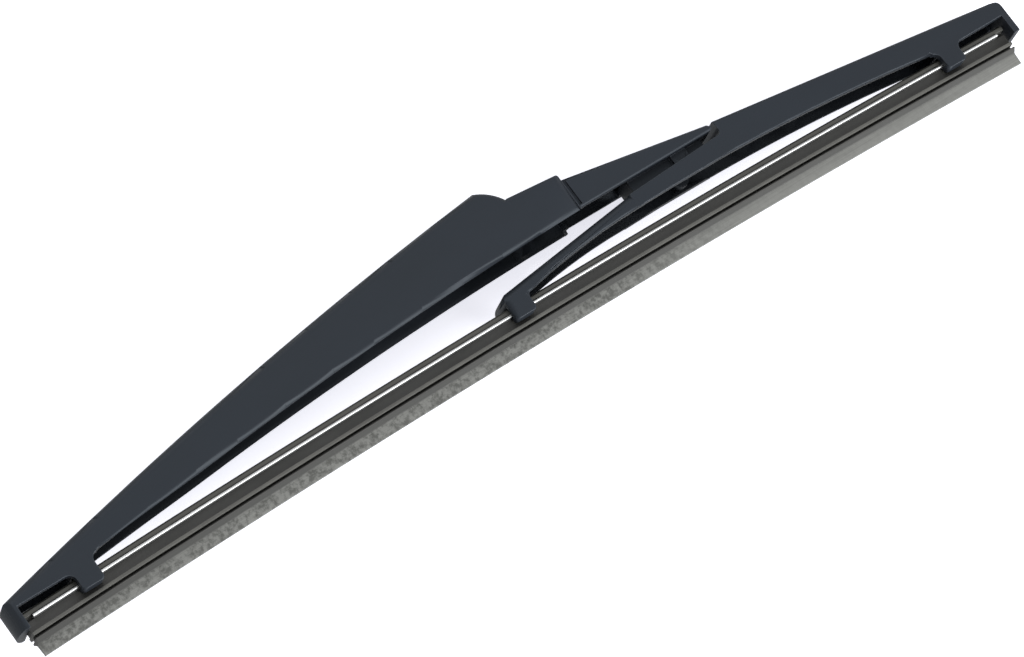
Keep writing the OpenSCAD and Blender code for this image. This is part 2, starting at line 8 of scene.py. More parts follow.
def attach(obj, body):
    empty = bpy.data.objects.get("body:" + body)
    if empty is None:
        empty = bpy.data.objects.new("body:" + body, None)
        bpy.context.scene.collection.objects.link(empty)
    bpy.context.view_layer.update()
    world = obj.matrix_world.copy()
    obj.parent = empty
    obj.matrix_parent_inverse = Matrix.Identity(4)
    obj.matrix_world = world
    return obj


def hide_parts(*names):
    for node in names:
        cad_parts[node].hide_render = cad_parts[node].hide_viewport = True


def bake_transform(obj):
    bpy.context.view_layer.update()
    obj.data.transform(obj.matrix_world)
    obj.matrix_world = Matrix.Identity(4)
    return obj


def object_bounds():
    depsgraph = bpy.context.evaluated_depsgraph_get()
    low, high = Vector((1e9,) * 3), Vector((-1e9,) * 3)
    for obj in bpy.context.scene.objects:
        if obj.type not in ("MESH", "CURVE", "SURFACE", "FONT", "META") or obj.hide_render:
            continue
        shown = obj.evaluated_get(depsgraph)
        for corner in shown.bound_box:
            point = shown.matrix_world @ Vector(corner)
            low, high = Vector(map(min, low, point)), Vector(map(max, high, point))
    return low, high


bl_info = {
    "name": "Wiper Blade Looks",
    "version": (1, 0, 0),
    "blender": (4, 5, 0),
    "location": "3D View > Sidebar > Wiper Blade",
    "description": "Dresses a rear-window wiper blade: rubber, splines, levers and studio",
    "category": "Object",
}

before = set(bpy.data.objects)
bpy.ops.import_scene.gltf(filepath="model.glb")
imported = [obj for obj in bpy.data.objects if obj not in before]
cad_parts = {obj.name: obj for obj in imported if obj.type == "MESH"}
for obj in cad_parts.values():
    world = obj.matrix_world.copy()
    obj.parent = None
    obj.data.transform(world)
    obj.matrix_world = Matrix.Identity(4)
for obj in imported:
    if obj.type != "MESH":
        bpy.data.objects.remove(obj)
CAD_BOX = [list(corner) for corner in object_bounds()]
MM = 0.001

# The squeegee hangs in this bow, and its wiping edge is this far below the arm bar
BOW_RADIUS = 4500 * MM
EDGE_DEPTH = 28 * MM
RUBBER_LEFT = -167.5 * MM
RUBBER_RIGHT = 137.5 * MM
# Half of the rubber's section from the wiping edge up to the head: height, half width, in mm
RUBBER_SECTION = (
    (0.0, 0.35), (3.1, 0.6), (4.0, 2.4), (4.3, 2.4), (4.3, 0.5), (5.0, 0.5), (5.0, 2.5),
    (5.85, 2.5), (5.85, 1.6), (8.55, 1.6), (8.55, 0.95), (9.45, 0.95), (9.45, 2.75),
    (10.4, 2.75), (10.9, 2.25))
# Tones over the section: heights above the wiping edge, in mm, and the looks that hold there, with
# painted shade in the grooves, on the web and the wedge, and a painted highlight on the rib. The
# ramp that holds them ends just over the head
RUBBER_TONES = (
    (3.0, "rubber_wedge_shade"), (3.7, "rubber_wedge_shade"), (3.85, "rubber_shade_and_streaks"), (4.95, "rubber_shade_and_streaks"),
    (5.05, "rubber_rib_highlight"), (5.8, "rubber_rib_highlight"), (5.9, "rubber_shade_and_streaks"), (6.3, "rubber_shade_and_streaks"),
    (6.6, "rubber_web_shade"), (8.0, "rubber_web_shade"), (8.3, "rubber_shade_and_streaks"), (9.4, "rubber_shade_and_streaks"),
    (9.5, "rubber_head"))
RUBBER_TOP = 11.0
# Near spline's section: its height above the wiping edge and its distance from the middle, in mm
SPLINE_HEIGHTS = (8.6, 9.4)
SPLINE_REACH = (1.0, 3.1)
SPLINE_LENGTH = 300 * MM
# Points of a strip that are nearer than this are one, and its edges are sharp over this angle
STRIP_MERGE = 0.001 * MM
STRIP_SHARP = math.radians(35)

# Levers, in mm along x, y and z as in the frame. Their walls' lower edges are arches: two feet and
# a radius. The bridge's arch is lowered by its drop, which grows from nothing over its run
BRIDGE_ARCH = ((-143.5, -16.235), (8.0, -5.4), 1270.0)
BRIDGE_DROP, BRIDGE_DROP_RUN = 0.8, 28.0
# How much larger the rounding of its lower edge gets over the same run, in shares of its own size
BRIDGE_ROUNDER = 1.5
BRIDGE_SEAM, NOSE_HALF_WIDTH = 8.0, 6.45
BRIDGE_HALF_WIDTH, BRIDGE_TAPER = 8.7, 0.02152
# What is cut from the seat, as boxes from corner to corner: the undersides of its rear and front
# walls, and a groove on each side where the nose starts
SEAT_CUTS = (((-10.2, -6.48, -20), (6.45, 6.48, -2.4)), ((6.4, -4.85, -20), (8.02, 4.85, -2.4)),
             ((7.98, -7.0, -4.8), (9.1, -5.75, 4.0)), ((7.98, 5.75, -4.8), (9.1, 7.0, 4.0)))
# The yoke's one arch becomes two, which meet under the seat's left end
YOKE_ARCH = ((-17.0, -15.49), (116.5, -16.98), 500.0)
YOKE_LEFT_ARCH = ((-17.0, -16.9), (21.0, -12.9), 175.0)
YOKE_RIGHT_ARCH = ((21.0, -12.9), (116.5, -17.8), 620.0)
# The dip round the sockets that goes: from x to x, and its lowest height
YOKE_DIP = (32.4, 46.6, -12.75)
# Between these two x the arch's edge is rounded. Beyond them are the roots of the claws, as zones
# from x to x and from z to z, outwards of this y
YOKE_ROUNDED = (-15.05, 114.6)
YOKE_LEFT_ROOT = ((-17.02, -15.05), (-17.2, -15.25), 3.45)
YOKE_RIGHT_ROOT = ((114.6, 116.52), (-19.1, -16.6), 3.7)
YOKE_HALF_WIDTHS = ((-23.0, 5.0), (21.0, 6.7), (51.7, 6.7), (140.5, 5.0))
# The seat under the nose falls towards the left arm, and the arm's own roof falls a little too. The
# arm's roof starts this far left of the rounded edge, and lies this far over the arch
YOKE_SEAT = (21.0, 50.5)
SEAT_TOP, SEAT_UNDER, SEAT_FALL, ARM_FALL = -7.5, -9.0, 1.5, 0.3
ARM_ROOF_START, ARM_ROOF_RISE = 5.0, 1.0
# Window in the seat's roof: from x to x, as the solid has it and as it gets
ROOF_WINDOW, WIDER_WINDOW = (33.1, 45.9), (22.6, 48.4)
# Slot over the centre claw that is closed: from x to x, from z to z, and the height it closes at
CLAW_SLOT = ((-21.05, -17.35), (-16.0, -15.45), -16.41)
# Tongue under the nose, which runs between the yoke's walls, and its overlap with the nose
TONGUE_X, TONGUE_Z = (23.8, 47.3), (-8.6, -5.3)
TONGUE_HALF_WIDTH, TONGUE_WALL, NOSE_INSIDE = 3.6, 1.2, 5.0
TONGUE_OVERLAP = 0.05
# Size of the roundings as the solids have them. Deeper in the wall than INSIDE_FROM, its underside
# slopes up by INSIDE_LIFT where the rounding gets larger
ROUNDING = 0.46
INSIDE_FROM, INSIDE_LIFT = 1.4, 0.9
# How near a point of the solid's mesh lies to what it belongs to: an edge, a station along x, a
# face of the seat, and the seam
EDGE_NEAR, STATION_NEAR, FACE_NEAR, SEAM_NEAR = 0.1, 0.05, 0.03, 0.01
# Points of a lever that are nearer than this are one, and its edges are sharp over this angle
LEVER_MERGE = 0.002 * MM
LEVER_SHARP = math.radians(30)

# The camera that took the photograph, in metres, with its turn, rise and roll in degrees
CAMERA_PLACE = (-0.46823, -0.95373, -0.24485)
CAMERA_TURN, CAMERA_RISE, CAMERA_ROLL = 25.0, 12.0, 36.60
SENSOR_WIDTH, CAMERA_REACH = 36, 10
# Studio, in metres: each lamp's place, width and height, the table's half size and its distance
# behind the blade
KEY_LAMP = ((-0.1, -1.2, 1.1), 1.0, 1.0)
LOW_LAMP = ((0.35, -0.5, -0.9), 0.9, 0.35)
TABLE_REACH, TABLE_GAP = 1.5, 0.1 * MM


def linear(code):
    """Turns an sRGB hex colour into the linear values that Blender's sockets hold."""
    parts = [int(code[i:i + 2], 16) / 255 for i in (1, 3, 5)]
    return tuple(c / 12.92 if c <= 0.04045 else ((c + 0.055) / 1.055) ** 2.4 for c in parts)


def add(tree, kind, links=None, **settings):
    """Adds a node with its settings, and links or fills the inputs that links names."""
    node = tree.nodes.new(kind)
    for name, value in settings.items():
        setattr(node, name, value)
    for name, value in (links or {}).items():
        if isinstance(value, bpy.types.Node):
            value = value.outputs[0]
        if isinstance(value, bpy.types.NodeSocket):
            tree.links.new(value, node.inputs[name])
        elif isinstance(value, tuple) and node.inputs[name].type == "RGBA":
            node.inputs[name].default_value = (*value[:3], 1)
        else:
            node.inputs[name].default_value = value
    return node


def new_material(name):
    """An empty node material and its tree."""
    material = bpy.data.materials.new(name)
    material.use_nodes = True
    material.node_tree.nodes.clear()
    return material, material.node_tree


# Glass-filled PBT, injection moulded in a finely eroded tool: near black with a blue cast, a satin
# skin whose sheen drifts with the flow of the melt, and edges lightened as a painted highlight
def moulded_plastic(looks):
    material, tree = new_material("pbt_moulded_satin")
    place = add(tree, "ShaderNodeTexCoord").outputs["Object"]
    # Flow of the melt: clouds about 18 mm across, drawn out three times along the lever
    flow = add(tree, "ShaderNodeTexNoise", {
        "Vector": add(tree, "ShaderNodeMapping", {"Vector": place, "Scale": (0.33, 1, 1)}),
        "Scale": 1 / (18 * MM), "Detail": 3.0, "Roughness": 0.55})
    # Skin of the eroded tool: grains of 0.1 mm in the real part, drawn at 0.35 mm so that they show
    grain = add(tree, "ShaderNodeTexNoise", {
        "Vector": place, "Scale": 1 / (0.35 * MM), "Detail": 2.0, "Roughness": 0.6})
    # Hairline scuffs along the lever, 0.2 mm wide and some 12 mm long
    scuffs = add(tree, "ShaderNodeTexNoise", {
        "Vector": add(tree, "ShaderNodeMapping", {"Vector": place, "Scale": (1 / 60, 1, 1),
                                                  "Rotation": (0, math.radians(3), 0)}),
        "Scale": 1 / (0.2 * MM), "Detail": 1.0})
    scuff_mask = add(tree, "ShaderNodeMapRange", {
        "Value": scuffs, "From Min": 0.68, "From Max": 0.78, "To Min": 0.0, "To Max": 1.0})
    # Edges: where a 0.4 mm bevel would turn the surface; they get a painted highlight
    soft_edge = add(tree, "ShaderNodeBevel", {"Radius": 0.4 * MM}, samples=6)
    turned = add(tree, "ShaderNodeVectorMath", {
        0: soft_edge, 1: add(tree, "ShaderNodeNewGeometry").outputs["Normal"]},
        operation="DOT_PRODUCT")
    highlighted = add(tree, "ShaderNodeMapRange", {
        "Value": turned.outputs["Value"], "From Min": 0.98, "From Max": 0.8, "To Min": 0.0,
        "To Max": 1.0})
    tint = add(tree, "ShaderNodeMix", {
        0: flow, 6: looks.plastic_dark[:], 7: looks.plastic_light[:]}, data_type="RGBA")
    # Painted highlight: the tint is lightened along the edges by a share of the highlight tone
    worn = add(tree, "ShaderNodeMix", {
        0: add(tree, "ShaderNodeMath", {0: highlighted, 1: 0.35}, operation="MULTIPLY"),
        6: tint.outputs[2], 7: looks.plastic_edge_highlight[:]}, data_type="RGBA")
    satin = add(tree, "ShaderNodeMapRange", {
        "Value": flow, "From Min": 0.3, "From Max": 0.7, "To Min": 0.52, "To Max": 0.62})
    scuffed = add(tree, "ShaderNodeMath", {
        0: add(tree, "ShaderNodeMath", {0: scuff_mask, 1: 0.08}, operation="MULTIPLY"), 1: satin},
        operation="ADD")
    polished = add(tree, "ShaderNodeMath", {
        0: scuffed, 1: add(tree, "ShaderNodeMath", {0: highlighted, 1: 0.1}, operation="MULTIPLY")},
        operation="SUBTRACT")
    skin = add(tree, "ShaderNodeBump", {
        "Height": grain, "Distance": 0.012 * MM, "Strength": 0.5, "Normal": soft_edge})
    shader = add(tree, "ShaderNodeBsdfPrincipled", {
        "Base Color": worn.outputs[2], "Roughness": polished, "IOR": 1.5, "Normal": skin,
        "Specular IOR Level": 0.3, "Specular Tint": (0.82, 0.92, 1.0)})
    add(tree, "ShaderNodeOutputMaterial", {"Surface": shader})
    return material


# Natural rubber with carbon black, moulded as one profile and cut apart at the lip: an olive-grey
# matt skin drawn out along the strip, and a lip dusted with pale graphite that wears off in patches
def moulded_rubber(looks):
    material, tree = new_material("rubber_moulded_graphite_lip")
    place = add(tree, "ShaderNodeTexCoord").outputs["Object"]
    along = add(tree, "ShaderNodeSeparateXYZ", {"Vector": place}).outputs["X"]
    height = add(tree, "ShaderNodeAttribute", attribute_name="height").outputs["Fac"]
    # Draw lines of the tool: 0.15 mm apart in height and some 25 mm long
    lines = add(tree, "ShaderNodeTexNoise", {
        "Vector": add(tree, "ShaderNodeMapping", {"Vector": place, "Scale": (1 / 160, 1, 1)}),
        "Scale": 1 / (0.15 * MM), "Detail": 2.0, "Roughness": 0.6})
    # Dust: clouds of 6 mm over the whole strip
    dust = add(tree, "ShaderNodeTexNoise", {
        "Vector": add(tree, "ShaderNodeMapping", {"Vector": place, "Scale": (0.5, 1, 1)}),
        "Scale": 1 / (6 * MM), "Detail": 4.0, "Roughness": 0.6})
    # Graphite worn in patches of 1.4 mm
    patches = add(tree, "ShaderNodeTexNoise", {
        "Vector": place, "Scale": 1 / (1.4 * MM), "Detail": 3.0, "Roughness": 0.65})
    # Wear fades out to the right of the blade's middle, where the lip keeps its smooth sheen
    wear_side = add(tree, "ShaderNodeMapRange", {
        "Value": along, "From Min": 45 * MM, "From Max": 5 * MM, "To Min": 0.15, "To Max": 1.0})
    worn = add(tree, "ShaderNodeMath", {
        0: add(tree, "ShaderNodeMapRange", {
            "Value": patches, "From Min": 0.42, "From Max": 0.62, "To Min": 0.0, "To Max": 1.0}),
        1: wear_side}, operation="MULTIPLY")
    on_lip = add(tree, "ShaderNodeMapRange", {
        "Value": height, "From Min": 3.2 * MM, "From Max": 2.9 * MM, "To Min": 0.0, "To Max": 1.0})
    # Each rib and groove of the section has its own tone: painted shade in the grooves, on the web
    # and the wedge, and a painted highlight on the rib that stands proud
    toned = add(tree, "ShaderNodeValToRGB", {
        "Fac": add(tree, "ShaderNodeMapRange", {
            "Value": height, "From Min": 0.0, "From Max": RUBBER_TOP * MM, "To Min": 0.0,
            "To Max": 1.0})})
    ramp = toned.color_ramp
    for h, tone in RUBBER_TONES:
        stop = ramp.elements.new(h / RUBBER_TOP)
        stop.color = (*getattr(looks, tone)[:], 1)
    ramp.elements.remove(ramp.elements[0])
    ramp.elements.remove(ramp.elements[-1])
    body = add(tree, "ShaderNodeMix", {
        0: add(tree, "ShaderNodeMapRange", {
            "Value": dust, "From Min": 0.35, "From Max": 0.7, "To Min": 0.45, "To Max": 0.0}),
        6: toned.outputs["Color"], 7: looks.rubber_shade_and_streaks[:]}, data_type="RGBA")
    lip = add(tree, "ShaderNodeMix", {
        0: worn, 6: looks.graphite[:], 7: looks.graphite_worn[:]}, data_type="RGBA")
    colour = add(tree, "ShaderNodeMix", {
        0: on_lip, 6: body.outputs[2], 7: lip.outputs[2]}, data_type="RGBA")
    streaked = add(tree, "ShaderNodeMix", {
        0: add(tree, "ShaderNodeMapRange", {
            "Value": lines, "From Min": 0.35, "From Max": 0.75, "To Min": 0.0, "To Max": 0.3}),
        6: colour.outputs[2], 7: looks.rubber_shade_and_streaks[:]}, data_type="RGBA")
    matt = add(tree, "ShaderNodeMapRange", {
        "Value": dust, "From Min": 0.3, "From Max": 0.7, "To Min": 0.52, "To Max": 0.66})
    skin = add(tree, "ShaderNodeBump", {"Height": lines, "Distance": 0.02 * MM, "Strength": 0.6})
    shader = add(tree, "ShaderNodeBsdfPrincipled", {
        "Base Color": streaked.outputs[2], "Roughness": matt, "IOR": 1.5, "Normal": skin})
    add(tree, "ShaderNodeOutputMaterial", {"Surface": shader})
    return material


# Stainless strip, cold rolled and slit: bright and pale, with fine rolling lines along its length
def rolled_steel(looks):
    material, tree = new_material("stainless_cold_rolled")
    place = add(tree, "ShaderNodeTexCoord").outputs["Object"]
    # Rolling lines 0.1 mm wide and some 30 mm long
    lines = add(tree, "ShaderNodeTexNoise", {
        "Vector": add(tree, "ShaderNodeMapping", {"Vector": place, "Scale": (1 / 300, 1, 1)}),
        "Scale": 1 / (0.1 * MM), "Detail": 3.0, "Roughness": 0.7})
    # Handling marks: clouds of 9 mm
    marks = add(tree, "ShaderNodeTexNoise", {"Vector": place, "Scale": 1 / (9 * MM), "Detail": 2.0})
    tone = add(tree, "ShaderNodeMix", {
        0: marks, 6: looks.steel_light[:], 7: looks.steel_dull[:]}, data_type="RGBA")
    gloss = add(tree, "ShaderNodeMapRange", {
        "Value": lines, "From Min": 0.3, "From Max": 0.7, "To Min": 0.38, "To Max": 0.5})
    skin = add(tree, "ShaderNodeBump", {"Height": lines, "Distance": 0.002 * MM, "Strength": 0.2})
    shader = add(tree, "ShaderNodeBsdfPrincipled", {
        "Base Color": tone.outputs[2], "Roughness": gloss, "Metallic": 1.0, "Normal": skin})
    add(tree, "ShaderNodeOutputMaterial", {"Surface": shader})
    return material


def bowed_strip_tree():
    """Sweeps the object's own outline along the bow that the splines give the squeegee."""
    tree = bpy.data.node_groups.new("bowed_strip", "GeometryNodeTree")
    for name, kind in (("Outline", "Geometry"), ("Left End", "Float"), ("Right End", "Float"),
                       ("Middle", "Float"), ("Bow Radius", "Float"), ("Edge Depth", "Float"),
                       ("Corner Radius", "Float"), ("Corner Steps", "Int"), ("Steps", "Int"),
                       ("Material", "Material")):
        tree.interface.new_socket(name, in_out="INPUT", socket_type="NodeSocket" + kind)
    tree.interface.new_socket("Strip", in_out="OUTPUT", socket_type="NodeSocketGeometry")
    given = add(tree, "NodeGroupInput").outputs
    line = add(tree, "GeometryNodeCurvePrimitiveLine", {
        "Start": add(tree, "ShaderNodeCombineXYZ", {"X": given["Left End"]}),
        "End": add(tree, "ShaderNodeCombineXYZ", {"X": given["Right End"]})})
    stations = add(tree, "GeometryNodeResampleCurve", {"Curve": line, "Count": given["Steps"]})
    x = add(tree, "ShaderNodeSeparateXYZ", {"Vector": add(tree, "GeometryNodeInputPosition")})
    from_middle = add(tree, "ShaderNodeMath", {0: x, 1: given["Middle"]}, operation="SUBTRACT")
    squared = add(tree, "ShaderNodeMath", {0: from_middle, 1: 2.0}, operation="POWER")
    radius_squared = add(tree, "ShaderNodeMath", {0: given["Bow Radius"], 1: 2.0},
                         operation="POWER")
    over_centre = add(tree, "ShaderNodeMath", {
        0: add(tree, "ShaderNodeMath", {0: radius_squared, 1: squared}, operation="SUBTRACT")},
        operation="SQRT")
    sag = add(tree, "ShaderNodeMath", {0: over_centre, 1: given["Bow Radius"]},
              operation="SUBTRACT")
    edge_z = add(tree, "ShaderNodeMath", {0: sag, 1: given["Edge Depth"]}, operation="SUBTRACT")
    bow = add(tree, "GeometryNodeSetPosition", {
        "Geometry": stations, "Offset": add(tree, "ShaderNodeCombineXYZ", {"Z": edge_z})})
    upright = add(tree, "GeometryNodeSetCurveNormal", {"Curve": bow}, mode="Z_UP")
    outline = add(tree, "GeometryNodeMeshToCurve", {"Mesh": given["Outline"]})
    eased = add(tree, "GeometryNodeFilletCurve", {
        "Curve": outline, "Radius": given["Corner Radius"], "Count": given["Corner Steps"],
        "Limit Radius": True}, mode="POLY")
    below = add(tree, "ShaderNodeSeparateXYZ", {
        "Vector": add(tree, "GeometryNodeInputPosition")}).outputs["Y"]
    marked = add(tree, "GeometryNodeStoreNamedAttribute", {
        "Geometry": eased, "Name": "height",
        "Value": add(tree, "ShaderNodeMath", {0: below, 1: -1.0}, operation="MULTIPLY")},
        data_type="FLOAT", domain="POINT")
    swept = add(tree, "GeometryNodeCurveToMesh", {
        "Curve": upright, "Profile Curve": marked, "Fill Caps": True})
    real = add(tree, "GeometryNodeRealizeInstances", {"Geometry": swept})
    dressed = add(tree, "GeometryNodeSetMaterial", {
        "Geometry": real, "Material": given["Material"]})
    add(tree, "NodeGroupOutput", {"Strip": dressed})
    return tree


def bowed_strip(name, outline, sizes, left, right, corner, material):
    """Makes a strip that follows the bow, with its section given as height and y in mm."""
    count = len(outline)
    source = bpy.data.meshes.new(name + "_outline")
    source.from_pydata([(-y * MM, -h * MM, 0) for h, y in outline],
                       [(i, (i + 1) % count) for i in range(count)], [])
    maker = bpy.data.objects.new(name + "_maker", source)
    bpy.context.scene.collection.objects.link(maker)
    tree = bpy.data.node_groups.get("bowed_strip") or bowed_strip_tree()
    modifier = maker.modifiers.new("bowed_strip", "NODES")
    modifier.node_group = tree
    values = {"Left End": left, "Right End": right, "Middle": (RUBBER_LEFT + RUBBER_RIGHT) / 2,
              "Bow Radius": sizes.bow_radius, "Edge Depth": sizes.edge_depth,
              "Corner Radius": corner, "Corner Steps": sizes.corner_steps, "Steps": sizes.steps,
              "Material": material}
    for item in tree.interface.items_tree:
        if item.in_out == "INPUT" and item.name in values:
            modifier[item.identifier] = values[item.name]
    ready = maker.evaluated_get(bpy.context.evaluated_depsgraph_get())
    mesh = bpy.data.meshes.new_from_object(ready)
    bpy.data.objects.remove(maker)
    bpy.data.meshes.remove(source)
    shape = bmesh.new()
    shape.from_mesh(mesh)
    bmesh.ops.remove_doubles(shape, verts=shape.verts, dist=STRIP_MERGE)
    bmesh.ops.recalc_face_normals(shape, faces=shape.faces)
    shape.to_mesh(mesh)
    shape.free()
    mesh.name = name
    mesh.shade_smooth()
    mesh.set_sharp_from_angle(angle=STRIP_SHARP)
    if not mesh.polygons:
        raise RuntimeError(name + " came out empty")
    piece = bpy.data.objects.new(name, mesh)
    bpy.context.scene.collection.objects.link(piece)
    return piece


def arch_height(x, arch):
    """Height at x on the arch of this radius between its two feet, in mm."""
    left, right, radius = Vector(arch[0]), Vector(arch[1]), arch[2]
    half = (right - left) / 2
    down = Vector((half.y, -half.x)).normalized() * math.sqrt(radius ** 2 - half.length_squared)
    centre = left + half + down
    return centre.y + math.sqrt(radius ** 2 - (x - centre.x) ** 2)


def between(x, points):
    """Value at x on a line of straight runs."""
    for (x0, v0), (x1, v1) in zip(points, points[1:]):
        if x <= x1 or (x1, v1) == points[-1]:
            return v0 + (v1 - v0) * (x - x0) / (x1 - x0)


def shift_edge(point, edge, target, wall, grow):
    """Moves a point of a wall's lower edge to its target height, with its rounding drawn out."""
    rise, inset = point.z - edge, wall - abs(point.y)
    if inset < ROUNDING and -EDGE_NEAR < rise < ROUNDING:
        point.y = math.copysign(wall - max(inset, 0) * grow, point.y)
        point.z = target + rise * grow
    elif abs(rise) < EDGE_NEAR:
        inside = INSIDE_LIFT if inset > INSIDE_FROM else 0
        point.z = target + rise + inside * min(grow - 1, 1)


def reshape_bridge(point):
    """Lowers the bridge's arch and rounds its edge more, where it isn't the nose's."""
    foot = BRIDGE_ARCH[0][0]
    on_nose = point.x > BRIDGE_SEAM - EDGE_NEAR and abs(point.y) < NOSE_HALF_WIDTH
    if on_nose or not foot - STATION_NEAR < point.x < BRIDGE_SEAM + SEAM_NEAR:
        return
    edge = arch_height(point.x, BRIDGE_ARCH)
    run = min(max((point.x - foot) / BRIDGE_DROP_RUN, 0), 1)
    wall = BRIDGE_HALF_WIDTH - (BRIDGE_SEAM - point.x) * BRIDGE_TAPER
    shift_edge(point, edge, edge - BRIDGE_DROP * run, wall, 1 + BRIDGE_ROUNDER * run)


def yoke_target(x):
    """Height of the moulded yoke's lower edge at x."""
    return arch_height(x, YOKE_LEFT_ARCH if x < YOKE_LEFT_ARCH[1][0] else YOKE_RIGHT_ARCH)


def in_zone(point, zone):
    """Whether a point lies in a zone of x, z and least y."""
    (x0, x1), (z0, z1), reach = zone
    return x0 <= point.x <= x1 and z0 < point.z < z1 and abs(point.y) > reach


def in_slot(point):
    """Whether a point lies on the slot over the centre claw."""
    (x0, x1), (z0, z1), _ = CLAW_SLOT
    return x0 < point.x < x1 and z0 < point.z < z1


def on_seat(point):
    """Whether a point lies on the seat's top or underside."""
    near_face = min(abs(point.z - SEAT_TOP), abs(point.z - SEAT_UNDER)) < FACE_NEAR
    return point.x > YOKE_SEAT[0] - STATION_NEAR and near_face


def on_arm_roof(point):
    """Whether a point lies on the roof of the yoke's left arm."""
    along = YOKE_ROUNDED[0] - ARM_ROOF_START < point.x < YOKE_SEAT[0] + STATION_NEAR
    return along and point.z > arch_height(point.x, YOKE_ARCH) + ARM_ROOF_RISE


def reshape_yoke(point):
    """Gives the yoke its two lower arches, its sloping seat and its long window."""
    (left, right), (seat_left, seat_right) = YOKE_ROUNDED, YOKE_SEAT
    for old, new in zip(ROOF_WINDOW, WIDER_WINDOW):
        in_roof = SEAT_UNDER - EDGE_NEAR < point.z < SEAT_TOP + EDGE_NEAR
        if abs(point.x - old) < STATION_NEAR and in_roof:
            point.x = new
    if in_slot(point):
        point.z = CLAW_SLOT[2]
    elif on_seat(point):
        point.z -= SEAT_FALL * max(seat_right - point.x, 0) / (seat_right - seat_left)
    elif on_arm_roof(point):
        foot = YOKE_ARCH[0][0]
        point.z -= ARM_FALL * (point.x - foot) / (seat_left - foot)
    elif YOKE_DIP[0] < point.x < YOKE_DIP[1]:
        if point.z < YOKE_DIP[2] + ROUNDING:
            point.z = yoke_target(point.x)
    elif left < point.x < right:
        shift_edge(point, arch_height(point.x, YOKE_ARCH), yoke_target(point.x),
                   between(point.x, YOKE_HALF_WIDTHS), 1.0)
    elif in_zone(point, YOKE_LEFT_ROOT):
        point.z += yoke_target(left) - arch_height(left, YOKE_ARCH)
    elif in_zone(point, YOKE_RIGHT_ROOT):
        point.z += yoke_target(right) - arch_height(right, YOKE_ARCH)


def add_box(shape, low, high):
    """Adds a closed box between two corners, in mm, with its faces outwards."""
    made = bmesh.ops.create_cube(shape, size=1)["verts"]
    low, high = Vector(low), Vector(high)
    for vert in made:
        half = Vector((c > 0 for c in vert.co))
        vert.co = Vector(low[i] + (high[i] - low[i]) * half[i] for i in range(3)) * MM


def add_tongue(shape):
    """Adds the tongue's two cheeks and two end walls under the nose."""
    (x0, x1), (z0, z1), w, t = TONGUE_X, TONGUE_Z, TONGUE_HALF_WIDTH, TONGUE_WALL
    for side in (-1, 1):
        y0, y1 = sorted((side * w, side * (w - t)))
        add_box(shape, (x0, y0, z0), (x1, y1, z1))
        y0, y1 = sorted((side * NOSE_INSIDE, side * (w - t)))
        add_box(shape, (x0, y0, z1 - TONGUE_OVERLAP), (x1, y1, z1 + t))
    for x in (x0, x1 - t):
        add_box(shape, (x, t - w, z0), (x + t, w - t, z1 + t))


def cut_seat_ends(piece):
    """Raises the seat's undersides, rear and front, and cuts a groove on each side of the nose."""
    block = bmesh.new()
    for low, high in SEAT_CUTS:
        add_box(block, low, high)
    mesh = bpy.data.meshes.new("cutter")
    block.to_mesh(mesh)
    block.free()
    cutter = bpy.data.objects.new("cutter", mesh)
    bpy.context.scene.collection.objects.link(cutter)
    cut = piece.modifiers.new("cut", "BOOLEAN")
    cut.operation, cut.solver, cut.object = "DIFFERENCE", "EXACT", cutter
    ready = piece.evaluated_get(bpy.context.evaluated_depsgraph_get())
    piece.data = bpy.data.meshes.new_from_object(ready)
    piece.modifiers.clear()
    bpy.data.objects.remove(cutter)
    bpy.data.meshes.remove(mesh)


def merged_shape(mesh):
    """An editable copy of a lever's mesh, with its doubled points made one."""
    shape = bmesh.new()
    shape.from_mesh(mesh)
    bmesh.ops.remove_doubles(shape, verts=shape.verts, dist=LEVER_MERGE)
    return shape


def moulded_lever(node_name, reshape, plastic):
    """Makes the finished lever from the solid's own mesh, merged, reshaped and smoothly shaded."""
    name, has_nose = "moulded_" + node_name, node_name == "main_lever"
    piece = bpy.data.objects.new(name, bpy.data.meshes.new(name))
    bpy.context.scene.collection.objects.link(piece)
    shape = merged_shape(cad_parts[node_name].data)
    shape.to_mesh(piece.data)
    shape.free()
    if has_nose:
        cut_seat_ends(piece)
    mesh = piece.data
    shape = merged_shape(mesh)
    for vert in shape.verts:
        point = vert.co / MM
        reshape(point)
        vert.co = point * MM
    bmesh.ops.dissolve_degenerate(shape, edges=shape.edges, dist=LEVER_MERGE)
    if has_nose:
        add_tongue(shape)
    shape.to_mesh(mesh)
    shape.free()
    mesh.materials.clear()
    mesh.materials.append(plastic)
    mesh.shade_smooth()
    mesh.set_sharp_from_angle(angle=LEVER_SHARP)
    if not mesh.polygons:
        raise RuntimeError(name + " came out empty")
    weighted = piece.modifiers.new("even_normals", "WEIGHTED_NORMAL")
    weighted.keep_sharp = True
    return piece


def bend_with_yoke(piece):
    """Bakes the strip's placement into its mesh; the strip does not bend as the yoke rocks."""
    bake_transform(piece)


class StripSizes(bpy.types.PropertyGroup):
    """Sizes of the rubber and the splines."""
    bow_radius: bpy.props.FloatProperty(
        name="Bow radius", description="Radius of the unloaded squeegee's bow",
        default=BOW_RADIUS, unit="LENGTH", subtype="DISTANCE")
    edge_depth: bpy.props.FloatProperty(
        name="Edge depth", description="Depth of the wiping edge below the arm bar",
        default=EDGE_DEPTH, unit="LENGTH", subtype="DISTANCE")
    rubber_corner: bpy.props.FloatProperty(
        name="Rubber corners", description="Radius of the rubber's moulded corners",
        default=0.12 * MM, unit="LENGTH", subtype="DISTANCE", precision=5)
    spline_corner: bpy.props.FloatProperty(
        name="Spline corners", description="Radius of the splines' slit edges",
        default=0.38 * MM, unit="LENGTH", subtype="DISTANCE", precision=5)
    corner_steps: bpy.props.IntProperty(
        name="Corner steps", description="Points on each rounded corner", default=3, min=1)
    steps: bpy.props.IntProperty(
        name="Steps", description="Sections along the strip", default=96, min=8)


